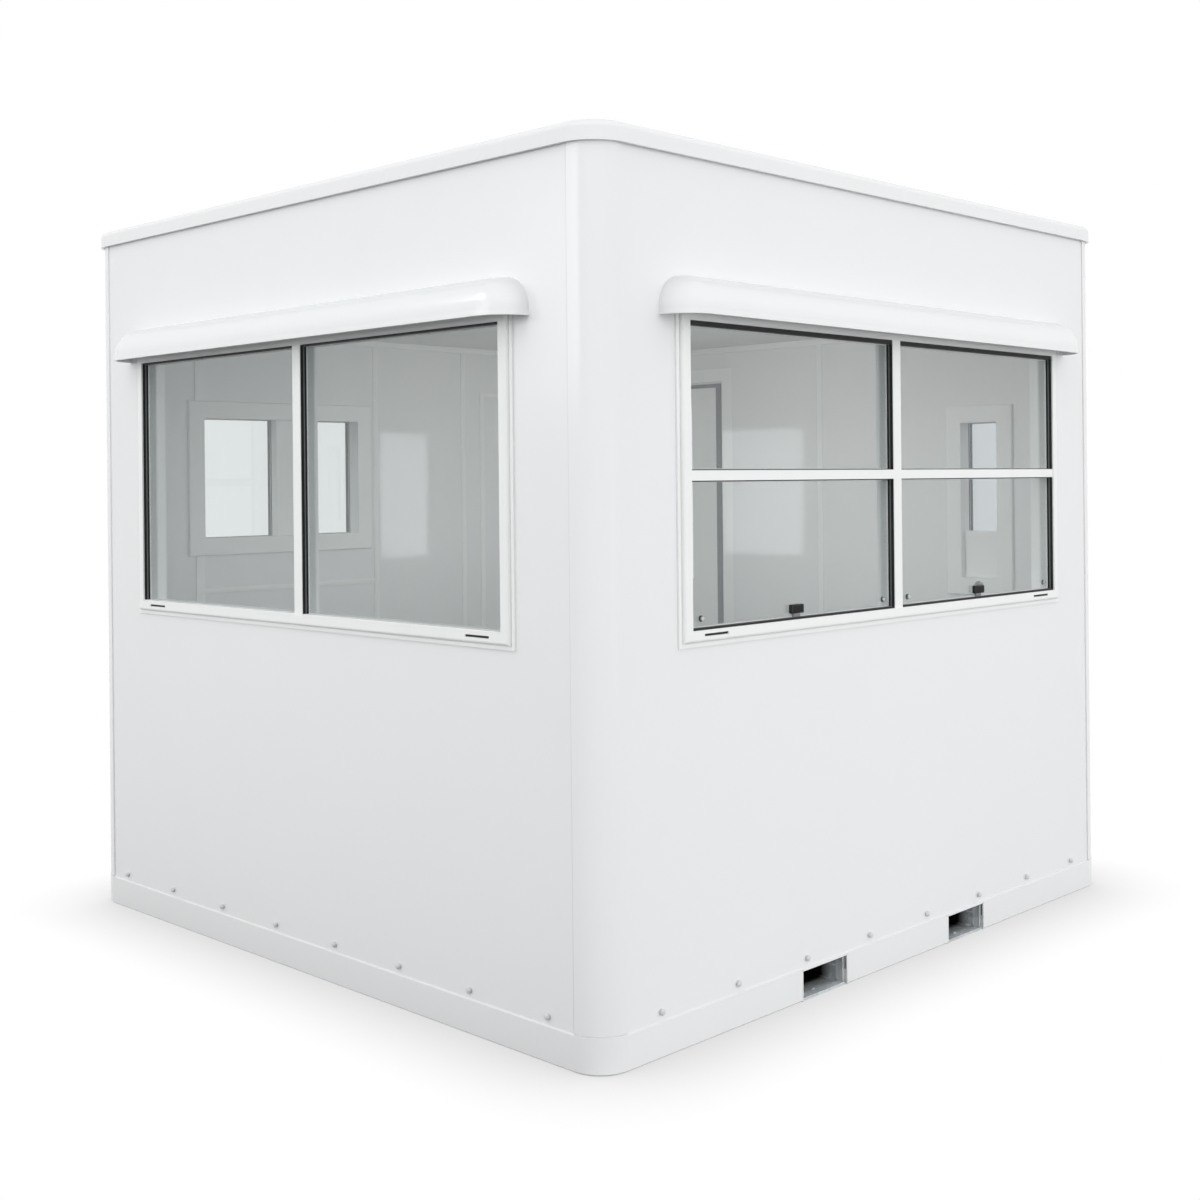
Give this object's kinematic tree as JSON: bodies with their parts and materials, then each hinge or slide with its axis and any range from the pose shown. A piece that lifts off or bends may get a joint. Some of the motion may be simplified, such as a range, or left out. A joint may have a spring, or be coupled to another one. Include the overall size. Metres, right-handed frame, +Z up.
{
  "type": "security guard booth",
  "caption": "Square white guard booth with rounded corners, wide glazed windows under moulded hoods, a glazed door, an overhanging flat roof and fork pockets in its base.",
  "frame": {"origin": "on the ground under the middle of the booth", "axes": "+Z up; -Y the front with the four-pane window and fork pockets; -X the left side with the two-pane window; +X the side with the door"},
  "size_m": [2.688, 2.664, 2.358],
  "materials": {
    "shell": "white gel-coat",
    "frame": "white powder coat",
    "glass": "clear float glass",
    "rubber": "matt black",
    "galvanised": "hot-dip zinc",
    "black_plastic": "moulded",
    "stainless": "satin",
    "lining": "satin white",
    "floor": "sheet vinyl",
    "threshold": "mill finish"
  },
  "bodies": {
    "booth": {"front_skirt": "shell", "back_skirt": "shell", "left_skirt": "shell", "right_skirt": "shell", "skirt_corners": "shell", "front_wall": "shell", "left_wall": "shell", "back_wall": "shell", "right_wall": "shell", "right_wall_over_door": "shell", "corner_post_front_left": "shell", "corner_post_front_right": "shell", "corner_post_back_left": "shell", "corner_post_back_right": "shell", "roof_cap": "shell", "front_hood": "shell", "left_hood": "shell", "back_hood": "shell", "front_window_frame": "frame", "left_window_frame": "frame", "back_window_frame": "frame", "right_window_frame": "frame", "door_frame": "frame", "front_upper_glass": "glass", "front_lower_glass": "glass", "left_window_glass": "glass", "back_window_glass": "glass", "right_window_glass": "glass", "front_window_seals": "rubber", "left_window_seals": "rubber", "back_window_seals": "rubber", "right_window_seals": "rubber", "fork_pocket_left": "galvanised", "fork_pocket_right": "galvanised", "floor_joists": "galvanised", "front_window_latches": "black_plastic", "door_hinge_pins": "stainless", "ceiling_panel": "lining", "floor_panel": "floor", "door_threshold": "threshold"},
    "door": {"door_leaf": "frame", "door_glass": "glass", "door_handles": "stainless", "door_hinge_knuckles": "stainless"}
  },
  "joints": [
    {"name": "door_swing", "type": "hinge", "parent": "booth", "child": "door", "pos_m": [1.28, 0.4485, 1], "axis": [0, 0, -1], "range_deg": [0, 105]}
  ]
}
